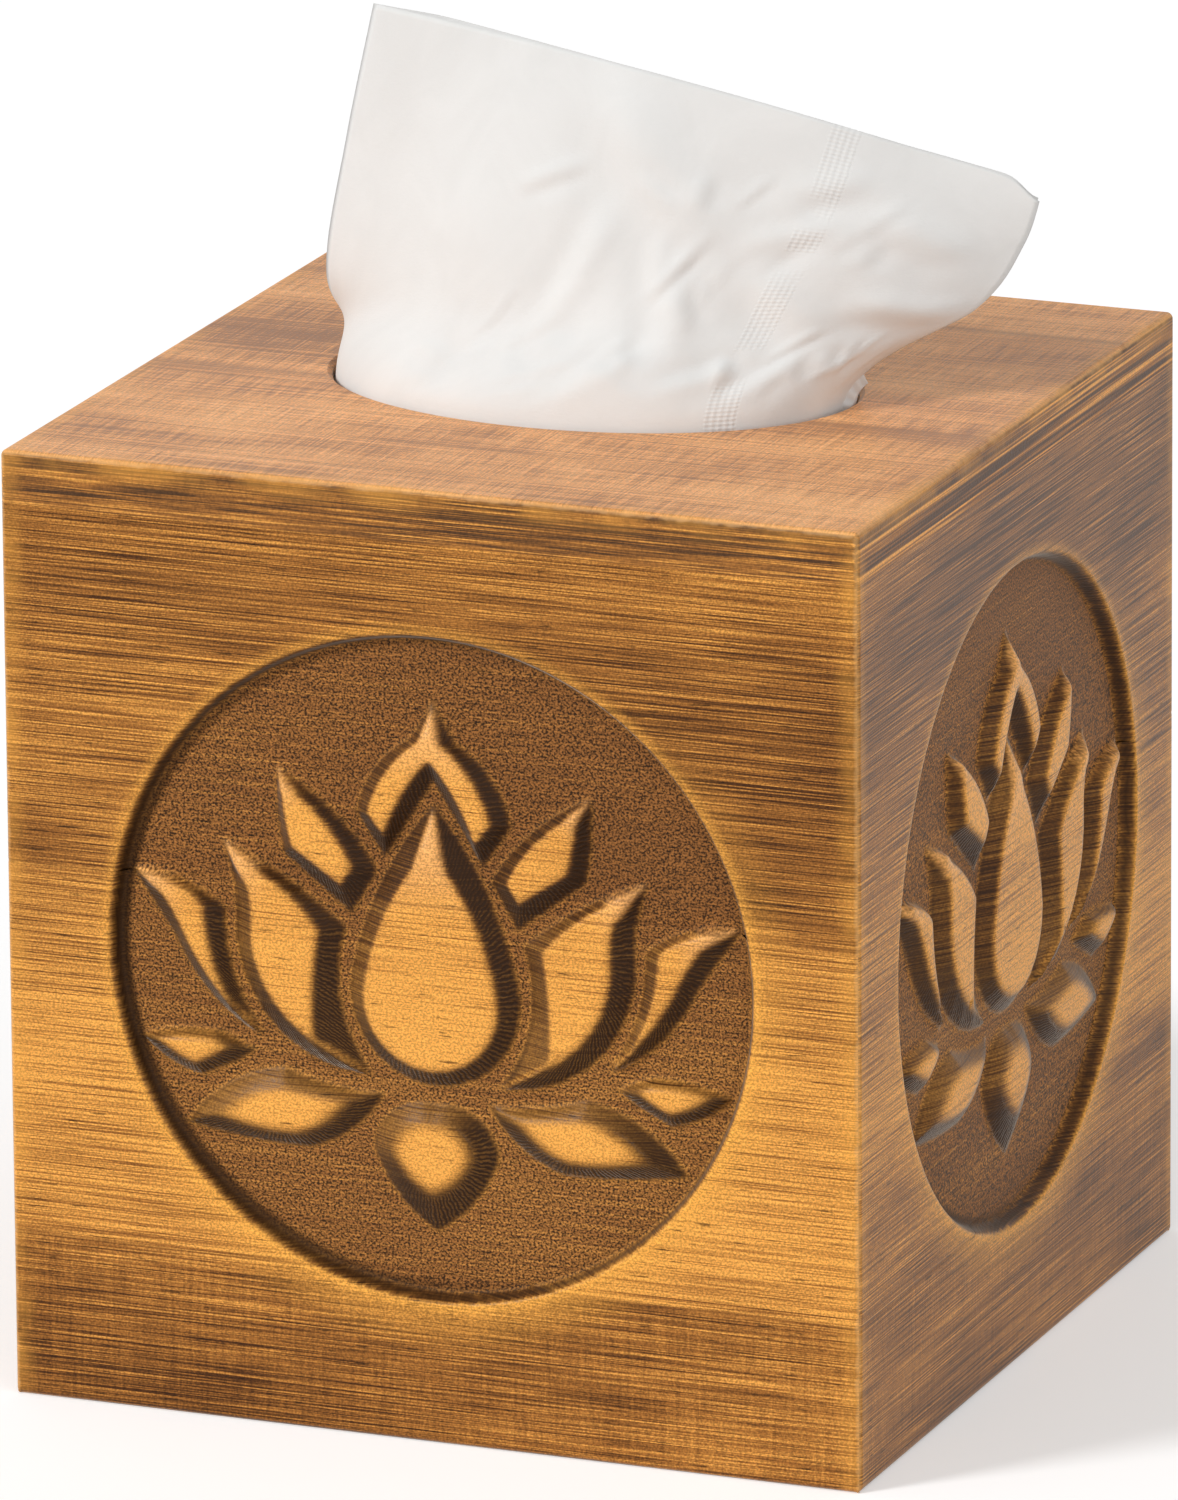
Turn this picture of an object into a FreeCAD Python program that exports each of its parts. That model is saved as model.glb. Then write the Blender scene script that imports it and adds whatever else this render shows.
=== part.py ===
import FreeCAD, Part
import math
import os
import Sketcher

# A carved wooden tissue box cover standing over a cube carton of tissues.
# Millimetres, +Z up, origin at the middle of the foot of the cover, front face towards -Y.

os.makedirs("parts", exist_ok=True)
doc = FreeCAD.newDocument("tissue_box_cover")

driving_sizes = {
    # wooden cover
    "cover_width": 135,
    "cover_depth": 135,
    "cover_height": 146,
    "side_thickness": 8,
    "top_thickness": 8,
    "edge_round": 1,
    # boards edge-glued into the panels
    "lower_board_height": 25.5,
    "middle_board_height": 57.5,
    "front_board_width": 55.5,
    "rear_board_width": 21,
    # splines glued into the mitred corners
    "spline_thickness": 2,
    "spline_width": 6,
    "spline_gap": 0.05,
    # oval mouth in the top
    "mouth_length": 81.6,
    "mouth_width": 56.6,
    "mouth_edge": 0.8,
    # carved medallion
    "medallion_radius": 51,
    "recess_depth": 2.5,
    "recess_wall_run": 1,
    "petal_drop": 0.1,
    # cube carton of tissues, inside the cover
    "carton_clearance": 4.5,
    "carton_headroom": 12,
    "carton_mouth_margin": 3.5,
    "card_thickness": 0.6,
    "stack_clearance": 1,
    "stack_headroom": 12.8,
    # tissue drawn up through the mouth: how far it stands above the top, how far its sides reach left
    # and right of the middle, and how far they stand in front of it or behind it
    "tissue_thickness": 0.8,
    "tissue_gap": 0.5,
    "belly_rise": 14,
    "belly_left_reach": 41.5,
    "belly_left_front": 6,
    "belly_right_reach": 58,
    "belly_right_rear": 8,
    "belly_bow": 18,
    "crest_rise": 48,
    "crest_left_reach": 33,
    "crest_left_front": 5,
    "crest_right_reach": 65.5,
    "crest_right_rear": 13,
    "crest_bow": 9,
}

sheet = doc.addObject("Spreadsheet::Sheet", "sizes")
for row, (name, value) in enumerate(driving_sizes.items(), start=1):
    sheet.set(f"A{row}", name)
    sheet.set(f"B{row}", str(value))
    sheet.setAlias(f"B{row}", name)
doc.recompute()


def value_of(expression):
    return float(sheet.evalExpression(expression))


def bind(thing, **expressions):
    for name, expression in expressions.items():
        thing.setExpression(name.replace("__", "."), expression)


def new_body(name):
    return doc.addObject("PartDesign::Body", name)


def new_sketch(body, name, role):
    sketch = body.newObject("Sketcher::SketchObject", name)
    plane = next(feature for feature in body.Origin.OriginFeatures if feature.Role == role)
    sketch.AttachmentSupport = [(plane, "")]
    sketch.MapMode = "FlatFace"
    return sketch


def new_pad(body, sketch, name, length):
    pad = body.newObject("PartDesign::Pad", name)
    pad.Profile = sketch
    bind(pad, Length=length)
    return pad


def draw_loop(sketch, corners):
    first = sketch.GeometryCount
    count = len(corners)
    for index in range(count):
        start = FreeCAD.Vector(*corners[index], 0)
        end = FreeCAD.Vector(*corners[(index + 1) % count], 0)
        sketch.addGeometry(Part.LineSegment(start, end))
    for index in range(count):
        following = first + (index + 1) % count
        sketch.addConstraint(Sketcher.Constraint("Coincident", first + index, 2, following, 1))


def dimension(sketch, kind, start, end, value, expression):
    index = sketch.addConstraint(Sketcher.Constraint(kind, *start, *end, value))
    sketch.setExpression(f"Constraints[{index}]", expression)


def centred_rectangle(sketch, length_expression, width_expression):
    length, width = value_of(length_expression), value_of(width_expression)
    right, back = length / 2, width / 2
    draw_loop(sketch, [(-right, -back), (right, -back), (right, back), (-right, back)])
    for line, direction in enumerate(("Horizontal", "Vertical", "Horizontal", "Vertical")):
        sketch.addConstraint(Sketcher.Constraint(direction, line))
    sketch.addConstraint(Sketcher.Constraint("Symmetric", 0, 1, 2, 1, -1, 1))
    dimension(sketch, "DistanceX", (0, 1), (0, 2), length, length_expression)
    dimension(sketch, "DistanceY", (1, 1), (1, 2), width, width_expression)


def new_block(name, length, width, height, x, y, z):
    box = doc.addObject("Part::Box", name)
    bind(box, Length=length, Width=width, Height=height)
    bind(box, Placement__Base__x=x, Placement__Base__y=y, Placement__Base__z=z)
    return box


def join(kind, name, base, tool):
    result = doc.addObject(f"Part::{kind}", name)
    result.Base = base
    result.Tool = tool
    return result


def new_oval(name, length, width, height):
    oval = doc.addObject("Part::Ellipse", name)
    bind(oval, MajorRadius=f"({length}) / 2", MinorRadius=f"({width}) / 2")
    bind(oval, Placement__Base__z=height)
    return oval


def oval_post(name, length, width, foot, height):
    post = doc.addObject("Part::Extrusion", name)
    post.Base = new_oval(f"{name}_outline", length, width, foot)
    post.DirMode = "Custom"
    post.Dir = FreeCAD.Vector(0, 0, 1)
    post.Solid = True
    bind(post, LengthFwd=height)
    return post


# Cutters reach through this many times the thickness that they cut.
clear_through = 2
top_foot = "(sizes.cover_height - sizes.top_thickness)"

# Faces of the cover: turn about Z, the place of the middle of the outer face's foot, and its length.
faces = {
    "front": (0, "0", "-sizes.cover_depth / 2", "sizes.cover_width"),
    "right": (90, "sizes.cover_width / 2", "0", "sizes.cover_depth"),
    "back": (180, "0", "sizes.cover_depth / 2", "sizes.cover_width"),
    "left": (270, "-sizes.cover_width / 2", "0", "sizes.cover_depth"),
}
up = FreeCAD.Vector(0, 0, 1)


def turn_to_face(thing, face):
    turn, x, y, _ = faces[face]
    thing.Placement = FreeCAD.Placement(FreeCAD.Vector(), FreeCAD.Rotation(up, turn))
    bind(thing, Placement__Base__x=x, Placement__Base__y=y)


# Lotus petals on the medallion, drawn from its centre in hundredths of its radius, with the
# right-hand ones mirrored to the left. A corner is its foot on the ground, its place on the petal's
# top, and how far the edge to the next corner bows out at the foot and at the top, as a part of its
# length. Corners run anticlockwise.
hundredth = "sizes.medallion_radius / 100"
middle_petals = {
    "crown": [
        ((0, 80.2), (0, 69.8), -0.03, -0.03),
        ((-7.1, 67.8), (-5.1, 66.5), 0.11, 0.08),
        ((-23.9, 44.5), (-18.8, 45.5), 0, 0),
        ((-15.3, 31.6), (-14.1, 39.8), 0, -0.06),
        ((0, 55.9), (0, 63.3), 0, -0.06),
        ((15.3, 31.6), (14.1, 39.8), 0, 0),
        ((23.9, 44.5), (18.8, 45.5), 0.11, 0.08),
        ((7.1, 67.8), (5.1, 66.5), -0.03, -0.03),
    ],
    "heart": [
        ((0, 49), (0, 35.7), 0.06, 0.07),
        ((-25.9, -2.9), (-19.6, -3.9), 0.24, 0.25),
        ((0, -36.1), (0, -30), 0.24, 0.25),
        ((25.9, -2.9), (19.6, -3.9), 0.06, 0.07),
    ],
    "drop": [
        ((0, -41.2), (0, -45.9), 0.22, 0.22),
        ((-19.8, -55.9), (-12.9, -55.5), 0.09, 0.12),
        ((0, -80), (0, -68.6), 0.09, 0.12),
        ((19.8, -55.9), (12.9, -55.5), 0.22, 0.22),
    ],
}
right_petals = {
    "kite": [
        ((48.8, 55.3), (45.5, 51), 0.08, 0.08),
        ((17.8, 27.5), (24.3, 28.6), 0, 0),
        ((25.7, 13.5), (27.8, 23.5), 0, 0),
        ((46.9, 30), (42.4, 33.1), 0.03, 0.03),
    ],
    "broad": [
        ((66.3, 32), (59.6, 26.5), 0.045, 0.08),
        ((27.5, 9.2), (35.3, 8.6), -0.134, -0.03),
        ((19.4, -34.5), (37.3, -23.5), 0.233, 0.15),
        ((62, 9.8), (55.3, 9.8), -0.06, -0.08),
    ],
    "narrow": [
        ((94.7, 20.8), (86.7, 18.8), 0.085, 0.11),
        ((65.1, 11.4), (71.2, 12.2), -0.097, -0.06),
        ((52, -27.1), (63.3, -15.7), 0.1, 0.04),
        ((81.4, 1.6), (77.3, 5.1), 0, -0.04),
    ],
    "diamond": [
        ((92, -29.8), (86.9, -29.4), 0.055, 0.04),
        ((66.7, -26.3), (67.8, -27.8), 0, 0),
        ((55.9, -30.8), (63.1, -29.8), 0.03, 0.03),
        ((73.3, -40.2), (74.1, -36.1), 0.08, 0.05),
    ],
    "leaf": [
        ((78.4, -55.1), (67.6, -51), 0.106, 0.1),
        ((47.1, -34.9), (46.1, -40), -0.05, 0),
        ((15.9, -39.6), (25.5, -42.4), 0.1, 0.1),
        ((40.2, -58.8), (42.2, -54.1), 0.02, 0.05),
    ],
}
# The lower petals are rounded: their tops are shoulders below a smaller crest.
rounded_petals = ("drop", "diamond", "leaf")
shoulder_share = 0.8
crest_share = 0.5
# A bowed edge is carved in this many straight cuts, so each slope is a row of flat facets.
bow_cuts = 3
# The petals stand on a ground disc under the floor of the recess, and are rooted in it.
ground_share = 0.5
root_share = 0.125
medallion_middle = "sizes.cover_height / 2"


def mirrored(corners):
    flipped = []
    for index in range(len(corners)):
        foot, top, _, _ = corners[-index]
        _, _, foot_bow, top_bow = corners[-index - 1]
        flipped.append(((-foot[0], foot[1]), (-top[0], top[1]), foot_bow, top_bow))
    return flipped


def bowed_points(start, end, bow):
    chord = end - start
    if bow == 0:
        return [start + chord * (step / bow_cuts) for step in range(bow_cuts)]
    outward = FreeCAD.Vector(chord.z, 0, -chord.x)
    arc = Part.Arc(start, (start + end) / 2 + outward * bow, end)
    return arc.toShape().discretize(bow_cuts + 1)[:-1]


def petal_outline(corners, bows, depth):
    scale, middle = value_of(hundredth), value_of(medallion_middle)
    corners = [FreeCAD.Vector(x * scale, value_of(depth), middle + z * scale) for x, z in corners]
    points = []
    for index, bow in enumerate(bows):
        points += bowed_points(corners[index], corners[(index + 1) % len(corners)], bow)
    return points


def flat_face(points):
    return Part.Face(Part.makePolygon(points + points[:1]))


def faceted_solid(outlines):
    faces = [flat_face(outlines[0]), flat_face(outlines[-1])]
    for lower, upper in zip(outlines, outlines[1:]):
        for index in range(len(lower)):
            following = (index + 1) % len(lower)
            faces.append(flat_face([lower[index], lower[following], upper[following]]))
            faces.append(flat_face([lower[index], upper[following], upper[index]]))
    return Part.Solid(Part.Shell(faces))


def new_petal(name, corners):
    ground = f"sizes.recess_depth * (1 + {root_share})"
    crest = "sizes.petal_drop"
    feet = [corner[0] for corner in corners]
    tops = [corner[1] for corner in corners]
    foot_bows = [corner[2] for corner in corners]
    top_bows = [corner[3] for corner in corners]
    outlines = [petal_outline(feet, foot_bows, ground)]
    if name.split("_")[0] in rounded_petals:
        middle_x = sum(top[0] for top in tops) / len(tops)
        middle_y = sum(top[1] for top in tops) / len(tops)
        crests = []
        for x, y in tops:
            crest_x = middle_x + (x - middle_x) * crest_share
            crest_y = middle_y + (y - middle_y) * crest_share
            crests.append((crest_x, crest_y))
        shoulder = f"sizes.recess_depth - (sizes.recess_depth - sizes.petal_drop) * {shoulder_share}"
        outlines.append(petal_outline(tops, top_bows, shoulder))
        outlines.append(petal_outline(crests, top_bows, crest))
    else:
        outlines.append(petal_outline(tops, top_bows, crest))
    petal = doc.addObject("Part::Feature", f"{name}_petal")
    petal.Shape = faceted_solid(outlines)
    return petal


def carve_medallion():
    ground = doc.addObject("Part::Cylinder", "ground")
    ground.Placement.Rotation = FreeCAD.Rotation(FreeCAD.Vector(1, 0, 0), 90)
    bind(ground, Radius="sizes.medallion_radius", Height=f"sizes.recess_depth * {ground_share}")
    bind(ground, Placement__Base__y=f"sizes.recess_depth * (1 + {ground_share})")
    bind(ground, Placement__Base__z=medallion_middle)
    lotus = doc.addObject("Part::MultiFuse", "lotus")
    petals = [new_petal(name, corners) for name, corners in middle_petals.items()]
    for name, corners in right_petals.items():
        petals.append(new_petal(f"{name}_right", corners))
        petals.append(new_petal(f"{name}_left", mirrored(corners)))
    lotus.Shapes = [ground] + petals
    # The recess reaches as far out of the face as into it, so at the face it has the medallion's radius.
    recess = doc.addObject("Part::Cone", "recess")
    recess.Placement.Rotation = FreeCAD.Rotation(FreeCAD.Vector(1, 0, 0), 90)
    bind(recess, Radius1="sizes.medallion_radius - sizes.recess_wall_run")
    bind(recess, Radius2="sizes.medallion_radius + sizes.recess_wall_run", Height="sizes.recess_depth * 2")
    bind(recess, Placement__Base__y="sizes.recess_depth", Placement__Base__z=medallion_middle)
    return join("Cut", "carving", recess, lotus)


def mitred_blank(face):
    outer_length = faces[face][3]
    inner_length = f"{outer_length} - 2 * sizes.side_thickness"
    outer, inner = value_of(outer_length), value_of(inner_length)
    thickness = value_of("sizes.side_thickness")
    body = new_body(f"{face}_blank")
    sketch = new_sketch(body, f"{face}_plan", "XY_Plane")
    draw_loop(sketch, [(-outer / 2, 0), (outer / 2, 0), (inner / 2, thickness), (-inner / 2, thickness)])
    for line in (0, 2):
        sketch.addConstraint(Sketcher.Constraint("Symmetric", line, 1, line, 2, -2))
    sketch.addConstraint(Sketcher.Constraint("PointOnObject", 0, 1, -1))
    dimension(sketch, "DistanceX", (0, 1), (0, 2), outer, outer_length)
    dimension(sketch, "DistanceX", (2, 2), (2, 1), inner, inner_length)
    dimension(sketch, "DistanceY", (1, 1), (1, 2), thickness, "sizes.side_thickness")
    new_pad(body, sketch, f"{face}_stock", top_foot)
    turn_to_face(body, face)
    return body


# The splines cross the mitres, with their middle line this share of the sides' thickness in.
corner_signs = {"front_left": (-1, -1), "front_right": (1, -1), "back_right": (1, 1), "back_left": (-1, 1)}
mitre_turn = 45
spline_place = 0.6


def corner_strip(name, corner, gap):
    across, along = corner_signs[corner]
    body = new_body(name)
    sketch = new_sketch(body, f"{name}_plan", "XY_Plane")
    centred_rectangle(sketch, f"sizes.spline_width + 2 * {gap}", f"sizes.spline_thickness + 2 * {gap}")
    new_pad(body, sketch, f"{name}_length", top_foot)
    turn = -mitre_turn * across * along
    body.Placement = FreeCAD.Placement(FreeCAD.Vector(), FreeCAD.Rotation(up, turn))
    inset = f"sizes.side_thickness * {spline_place}"
    bind(body, Placement__Base__x=f"{across} * (sizes.cover_width / 2 - {inset})")
    bind(body, Placement__Base__y=f"{along} * (sizes.cover_depth / 2 - {inset})")
    return body


cover_plan = ("sizes.cover_width", "sizes.cover_depth")
cover_corner = ("-sizes.cover_width / 2", "-sizes.cover_depth / 2")


def rounded_envelope():
    body = new_body("envelope")
    sketch = new_sketch(body, "envelope_plan", "XY_Plane")
    centred_rectangle(sketch, "sizes.cover_width", "sizes.cover_depth")
    block = new_pad(body, sketch, "envelope_block", "sizes.cover_height")
    doc.recompute()
    rounding = body.newObject("PartDesign::Fillet", "envelope_edges")
    rounding.Base = (block, [f"Edge{number}" for number in range(1, len(block.Shape.Edges) + 1)])
    bind(rounding, Radius="sizes.edge_round")
    return body


def side_boards(envelope, slots):
    upper_foot = "sizes.lower_board_height + sizes.middle_board_height"
    layers = {
        "lower": ("0", "sizes.lower_board_height"),
        "middle": ("sizes.lower_board_height", "sizes.middle_board_height"),
        "upper": (upper_foot, f"{top_foot} - ({upper_foot})"),
    }
    blocks = {}
    for name, (foot, height) in layers.items():
        blocks[name] = new_block(f"{name}_layer", *cover_plan, height, *cover_corner, foot)
    carving = carve_medallion()
    boards = []
    for face in faces:
        slotted = join("Cut", f"{face}_slotted", mitred_blank(face), slots)
        panel = join("Common", f"{face}_panel", slotted, envelope)
        cutter = doc.addObject("App::Link", f"{face}_carving")
        cutter.LinkedObject = carving
        turn_to_face(cutter, face)
        for name, block in blocks.items():
            plain = join("Common", f"{face}_{name}_plain", panel, block)
            boards.append(join("Cut", f"{face}_{name}_board", plain, cutter))
    return boards


def top_boards(envelope):
    slab = new_block("top_slab", *cover_plan, "sizes.top_thickness", *cover_corner, top_foot)
    post_height = f"sizes.top_thickness * {clear_through}"
    post = oval_post("mouth", "sizes.mouth_length", "sizes.mouth_width", top_foot, post_height)
    # The mouth's rim is eased at 45 degrees, by a flare that ends as far above the top as it starts below.
    eased = "4 * sizes.mouth_edge"
    rim_foot = "sizes.cover_height - sizes.mouth_edge"
    rim_head = "sizes.cover_height + sizes.mouth_edge"
    flare = doc.addObject("Part::Loft", "mouth_flare")
    flare.Sections = [
        new_oval("flare_foot", "sizes.mouth_length", "sizes.mouth_width", rim_foot),
        new_oval("flare_head", f"sizes.mouth_length + {eased}", f"sizes.mouth_width + {eased}", rim_head),
    ]
    flare.Solid = True
    flare.Ruled = True
    pierced = join("Cut", "top_pierced", slab, join("Fuse", "mouth_cutter", post, flare))
    panel = join("Common", "top_panel", pierced, envelope)
    front, rear = "sizes.front_board_width", "sizes.rear_board_width"
    strips = {
        "front": ("0", front),
        "middle": (front, f"{cover_plan[1]} - {front} - {rear}"),
        "rear": (f"{cover_plan[1]} - {rear}", rear),
    }
    left, near = cover_corner
    boards = []
    for name, (start, width) in strips.items():
        place = (left, f"{near} + {start}", top_foot)
        strip = new_block(f"{name}_strip", cover_plan[0], width, "sizes.top_thickness", *place)
        boards.append(join("Common", f"top_{name}_board", panel, strip))
    return boards


def wooden_cover():
    envelope = rounded_envelope()
    splines = []
    slots = doc.addObject("Part::MultiFuse", "slots")
    for corner in corner_signs:
        splines.append(corner_strip(f"{corner}_spline", corner, "0"))
        slots.Shapes += [corner_strip(f"{corner}_slot", corner, "sizes.spline_gap")]
    return side_boards(envelope, slots) + top_boards(envelope) + splines


# The carton stands inside the cover with room on all sides, and the stack inside the carton.
carton_room = "2 * (sizes.side_thickness + sizes.carton_clearance)"
carton_width = f"(sizes.cover_width - {carton_room})"
carton_depth = f"(sizes.cover_depth - {carton_room})"
carton_height = f"({top_foot} - sizes.carton_headroom)"
stack_head = f"({carton_height} - sizes.card_thickness - sizes.stack_headroom)"


def refill_carton():
    card = "sizes.card_thickness"
    left, near = f"-{carton_width} / 2", f"-{carton_depth} / 2"
    outside = new_block("carton_outside", carton_width, carton_depth, carton_height, left, near, "0")
    room = [f"{length} - 2 * {card}" for length in (carton_width, carton_depth, carton_height)]
    inside = new_block("carton_inside", *room, f"{left} + {card}", f"{near} + {card}", card)
    shell = join("Cut", "carton_shell", outside, inside)
    mouth_foot = f"{carton_height} - {clear_through} * {card}"
    wider = "2 * sizes.carton_mouth_margin"
    mouth = oval_post("carton_mouth", f"sizes.mouth_length + {wider}", f"sizes.mouth_width + {wider}",
                      mouth_foot, f"2 * {clear_through} * {card}")
    return join("Cut", "refill_carton", shell, mouth)


def tissue_stack():
    stack = new_body("tissue_stack")
    sketch = new_sketch(stack, "stack_plan", "XY_Plane")
    room = "2 * (sizes.card_thickness + sizes.stack_clearance)"
    centred_rectangle(sketch, f"{carton_width} - {room}", f"{carton_depth} - {room}")
    bind(sketch, AttachmentOffset__Base__z="sizes.card_thickness")
    new_pad(stack, sketch, "stack_block", f"{stack_head} - sizes.card_thickness")
    return stack


# The drawn-up tissue follows the front half of the mouth, between these two turns around it, then
# swells above the rim into a belly and opens to a crest, an upper edge that falls to the right and rear.
tissue_stations = 13
tissue_bands = 3
mouth_turns = (190, 350)
tail_narrowing = (0.8, 0.4)
crest_fall = (-0.1616, -0.5)


def mouth_plan(narrowing=(1, 1)):
    reach = value_of("sizes.mouth_length / 2 - sizes.tissue_gap") * narrowing[0]
    depth = value_of("sizes.mouth_width / 2 - sizes.tissue_gap") * narrowing[1]
    plan = []
    for station in range(tissue_stations):
        step = station / (tissue_stations - 1)
        turn = math.radians(mouth_turns[0] + (mouth_turns[1] - mouth_turns[0]) * step)
        plan.append((reach * math.cos(turn), depth * math.sin(turn)))
    return plan


def bowed_plan(name):
    left = FreeCAD.Vector(value_of(f"-sizes.{name}_left_reach"), value_of(f"-sizes.{name}_left_front"), 0)
    right = FreeCAD.Vector(value_of(f"sizes.{name}_right_reach"), value_of(f"sizes.{name}_right_rear"), 0)
    bow = value_of(f"sizes.{name}_bow")
    plan = []
    for station in range(tissue_stations):
        step = station / (tissue_stations - 1)
        place = left + (right - left) * step
        plan.append((place.x, place.y - bow * math.sin(math.pi * step)))
    return plan


def tissue_outline(plan, height, fall=(0, 0)):
    thickness = value_of("sizes.tissue_thickness")
    front, rear = [], []
    for index, (x, y) in enumerate(plan):
        before = plan[max(index - 1, 0)]
        after = plan[min(index + 1, len(plan) - 1)]
        across = FreeCAD.Vector(before[1] - after[1], after[0] - before[0], 0)
        across.normalize()
        across.z = fall[0] * across.x + fall[1] * across.y
        point = FreeCAD.Vector(x, y, height + fall[0] * x + fall[1] * y)
        front.append(point)
        rear.insert(0, point + across * thickness)
    return front + rear


def eased_outline(lower, upper, step):
    ease = step * step * (3 - 2 * step)
    points = []
    for start, end in zip(lower, upper):
        point = start + (end - start) * ease
        point.z = start.z + (end.z - start.z) * step
        points.append(point)
    return points


def drawn_tissue():
    foot = value_of(f"{stack_head} + sizes.tissue_gap")
    over = value_of("sizes.cover_height + sizes.mouth_edge")
    belly = value_of("sizes.cover_height + sizes.belly_rise")
    crest = value_of("sizes.cover_height + sizes.crest_rise")
    outlines = [
        tissue_outline(mouth_plan(tail_narrowing), foot),
        tissue_outline(mouth_plan(), value_of(top_foot)),
        tissue_outline(mouth_plan(), over),
        tissue_outline(bowed_plan("belly"), belly),
        tissue_outline(bowed_plan("crest"), crest, crest_fall),
    ]
    sections = [outlines[0]]
    for lower, upper in zip(outlines, outlines[1:]):
        for band in range(1, tissue_bands + 1):
            sections.append(eased_outline(lower, upper, band / tissue_bands))
    wires = [Part.makePolygon(section + section[:1]) for section in sections]
    tissue = doc.addObject("Part::Feature", "drawn_tissue")
    tissue.Shape = Part.makeLoft(wires, True, True)
    return tissue


nodes = wooden_cover() + [refill_carton(), tissue_stack(), drawn_tissue()]
doc.recompute()

for thing in doc.Objects:
    if "Invalid" in thing.State or "Error" in thing.State:
        raise RuntimeError(f"{thing.Name} failed: {thing.State}")
for node in nodes:
    shape = node.Shape
    if shape.isNull() or not shape.isValid() or len(shape.Solids) != 1:
        raise RuntimeError(f"{node.Label} is not one valid solid")
for node in nodes:
    node.Shape.exportStep(f"parts/{node.Label}.step")
    print(node.Label, round(node.Shape.Volume, 1))
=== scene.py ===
import math
import bmesh
import bpy
import numpy as np
from mathutils import Matrix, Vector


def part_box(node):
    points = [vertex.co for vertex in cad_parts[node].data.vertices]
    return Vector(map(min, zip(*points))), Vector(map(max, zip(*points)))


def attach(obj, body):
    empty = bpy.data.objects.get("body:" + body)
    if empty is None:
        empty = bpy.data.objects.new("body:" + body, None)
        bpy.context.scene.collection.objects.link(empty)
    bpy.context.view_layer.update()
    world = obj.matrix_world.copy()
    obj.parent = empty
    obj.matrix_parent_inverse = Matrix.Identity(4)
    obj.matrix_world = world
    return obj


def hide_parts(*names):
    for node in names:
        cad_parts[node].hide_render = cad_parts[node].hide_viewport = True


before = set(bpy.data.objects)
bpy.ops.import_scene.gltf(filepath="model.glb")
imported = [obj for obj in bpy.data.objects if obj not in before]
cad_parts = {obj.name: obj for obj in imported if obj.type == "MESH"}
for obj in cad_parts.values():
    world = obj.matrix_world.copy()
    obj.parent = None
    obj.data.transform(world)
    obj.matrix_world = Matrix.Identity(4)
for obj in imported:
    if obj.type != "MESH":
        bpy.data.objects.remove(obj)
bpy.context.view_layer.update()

print("frame loaded")

mm = 0.001
scene = bpy.context.scene


def newObject(name, data):
    piece = bpy.data.objects.new(name, data)
    scene.collection.objects.link(piece)
    return piece


def setCoordinates(mesh, points):
    mesh.vertices.foreach_set("co", np.asarray(points, dtype=np.float32).ravel() * mm)
    mesh.update()


def addAttribute(mesh, name, kind, values):
    layer = mesh.attributes.new(name, kind, "POINT")
    field = {"FLOAT": "value", "FLOAT_VECTOR": "vector", "FLOAT_COLOR": "color"}[kind]
    layer.data.foreach_set(field, np.asarray(values, dtype=np.float32).ravel())


def toMesh(name, shape):
    mesh = bpy.data.meshes.new(name)
    shape.to_mesh(mesh)
    shape.free()
    return mesh


def coordinates(mesh):
    place = np.empty(len(mesh.vertices) * 3)
    mesh.vertices.foreach_get("co", place)
    return place.reshape(-1, 3)


def gridPlace(mesh, columns, rows):
    # column and row of each vertex of a mesh made as a grid of size 1
    place = coordinates(mesh)
    column = np.rint((place[:, 0] + 1) / 2 * columns).astype(int)
    row = np.rint((place[:, 1] + 1) / 2 * rows).astype(int)
    return column, row


def newEdges(drawn):
    return [part for part in drawn if isinstance(part, bmesh.types.BMEdge)]


def newVerts(drawn):
    return [part for part in drawn if isinstance(part, bmesh.types.BMVert)]


def outwardNormals(mesh):
    shape = bmesh.new()
    shape.from_mesh(mesh)
    bmesh.ops.recalc_face_normals(shape, faces=shape.faces)
    shape.to_mesh(mesh)
    shape.free()


def smoothStep(value, low, high):
    share = np.clip((value - low) / (high - low), 0, 1)
    return share * share * (3 - 2 * share)


# short ways to add shader nodes: each returns the socket that carries the result
def feed(tree, socket, value):
    if isinstance(value, bpy.types.NodeSocket):
        tree.links.new(value, socket)
    elif value is not None:
        socket.default_value = value


def calc(tree, operation, *values):
    node = tree.nodes.new("ShaderNodeMath")
    node.operation = operation
    for socket, value in zip(node.inputs, values):
        feed(tree, socket, value)
    return node.outputs[0]


def plus(tree, first, second):
    return calc(tree, "ADD", first, second)


def minus(tree, first, second):
    return calc(tree, "SUBTRACT", first, second)


def times(tree, first, second):
    return calc(tree, "MULTIPLY", first, second)


def mixValues(tree, share, first, second):
    # first where the share is 0, second where it is 1
    return plus(tree, times(tree, first, minus(tree, 1.0, share)), times(tree, second, share))


def remap(tree, value, low, high, toLow=0.0, toHigh=1.0, smooth=False):
    node = tree.nodes.new("ShaderNodeMapRange")
    node.interpolation_type = "SMOOTHSTEP" if smooth else "LINEAR"
    for socket, number in zip(node.inputs, (value, low, high, toLow, toHigh)):
        feed(tree, socket, number)
    return node.outputs[0]


def grainNoise(tree, vector, stretch, detail=3.0, roughness=0.55, distortion=0.0):
    mapping = tree.nodes.new("ShaderNodeMapping")
    mapping.inputs["Scale"].default_value = stretch
    feed(tree, mapping.inputs["Vector"], vector)
    node = tree.nodes.new("ShaderNodeTexNoise")
    node.inputs["Scale"].default_value = 1
    node.inputs["Detail"].default_value = detail
    node.inputs["Roughness"].default_value = roughness
    node.inputs["Distortion"].default_value = distortion
    tree.links.new(mapping.outputs[0], node.inputs["Vector"])
    return node.outputs["Fac"]


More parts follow.
